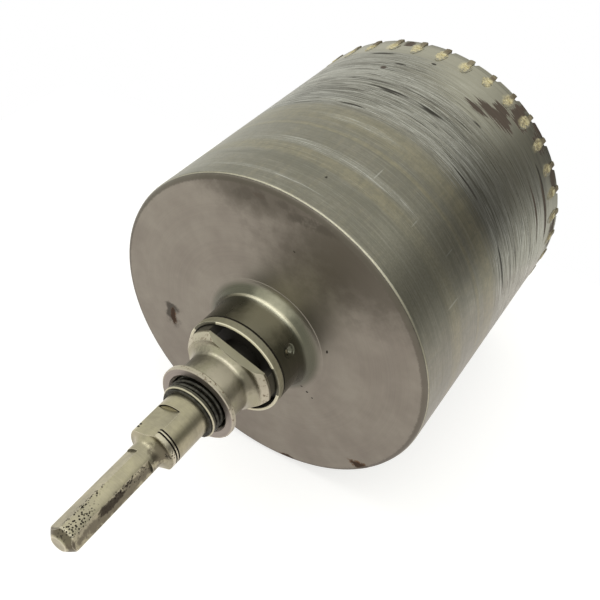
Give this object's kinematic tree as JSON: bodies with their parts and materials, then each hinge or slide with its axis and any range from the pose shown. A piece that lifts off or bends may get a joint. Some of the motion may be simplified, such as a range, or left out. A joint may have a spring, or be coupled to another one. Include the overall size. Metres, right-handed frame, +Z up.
{
  "type": "core drill bit",
  "caption": "Wide thin-walled hole cutter with brazed carbide teeth, closed end plate with a neck, spring-loaded lock sleeve and straight shank with flats.",
  "frame": {"origin": "centre of the shank's free end, on the tool's axis", "axes": "+Y along the tool's axis from the shank to the cutting rim, +Z up with the bit lying on its barrel"},
  "size_m": [0.16, 0.2895, 0.1596],
  "materials": {
    "arbor_steel": "satin, worn",
    "phosphated_steel": "dull black",
    "seat_steel": "worn",
    "sleeve_steel": "satin, worn edges",
    "plate_steel": "satin",
    "tube_steel": "turned, scratched",
    "carbide": "sintered, used",
    "drill_steel": "ground",
    "screw_steel": "black",
    "braze_metal": "as run, rough"
  },
  "bodies": {
    "cutter": {"arbor": "arbor_steel", "snap_ring": "phosphated_steel", "spring_seat": "seat_steel", "lock_spring": "phosphated_steel", "mouth_ring": "plate_steel", "end_plate": "plate_steel", "barrel_tube": "tube_steel", "tip_01": "carbide", "tip_02": "carbide", "tip_03": "carbide", "tip_04": "carbide", "tip_05": "carbide", "tip_06": "carbide", "tip_07": "carbide", "tip_08": "carbide", "tip_09": "carbide", "tip_10": "carbide", "tip_11": "carbide", "tip_12": "carbide", "tip_13": "carbide", "tip_14": "carbide", "tip_15": "carbide", "tip_16": "carbide", "tip_17": "carbide", "tip_18": "carbide", "tip_19": "carbide", "tip_20": "carbide", "tip_21": "carbide", "tip_22": "carbide", "tip_23": "carbide", "tip_24": "carbide", "tip_25": "carbide", "tip_26": "carbide", "tip_27": "carbide", "tip_28": "carbide", "tip_29": "carbide", "tip_30": "carbide", "tip_31": "carbide", "tip_32": "carbide", "tip_33": "carbide", "tip_34": "carbide", "tip_35": "carbide", "tip_36": "carbide", "tip_37": "carbide", "tip_38": "carbide", "braze": "braze_metal", "pilot_drill": "drill_steel", "pilot_tip": "carbide", "pilot_screw": "screw_steel"},
    "sleeve": {"lock_sleeve": "sleeve_steel"}
  },
  "joints": [
    {"name": "sleeve_slide", "type": "slide", "parent": "cutter", "child": "sleeve", "axis": [0, -1, 0], "range_m": [0, 0.006], "stiffness_N_per_m": 1600, "springref_m": -0.0088, "deforming": ["lock_spring"]}
  ]
}
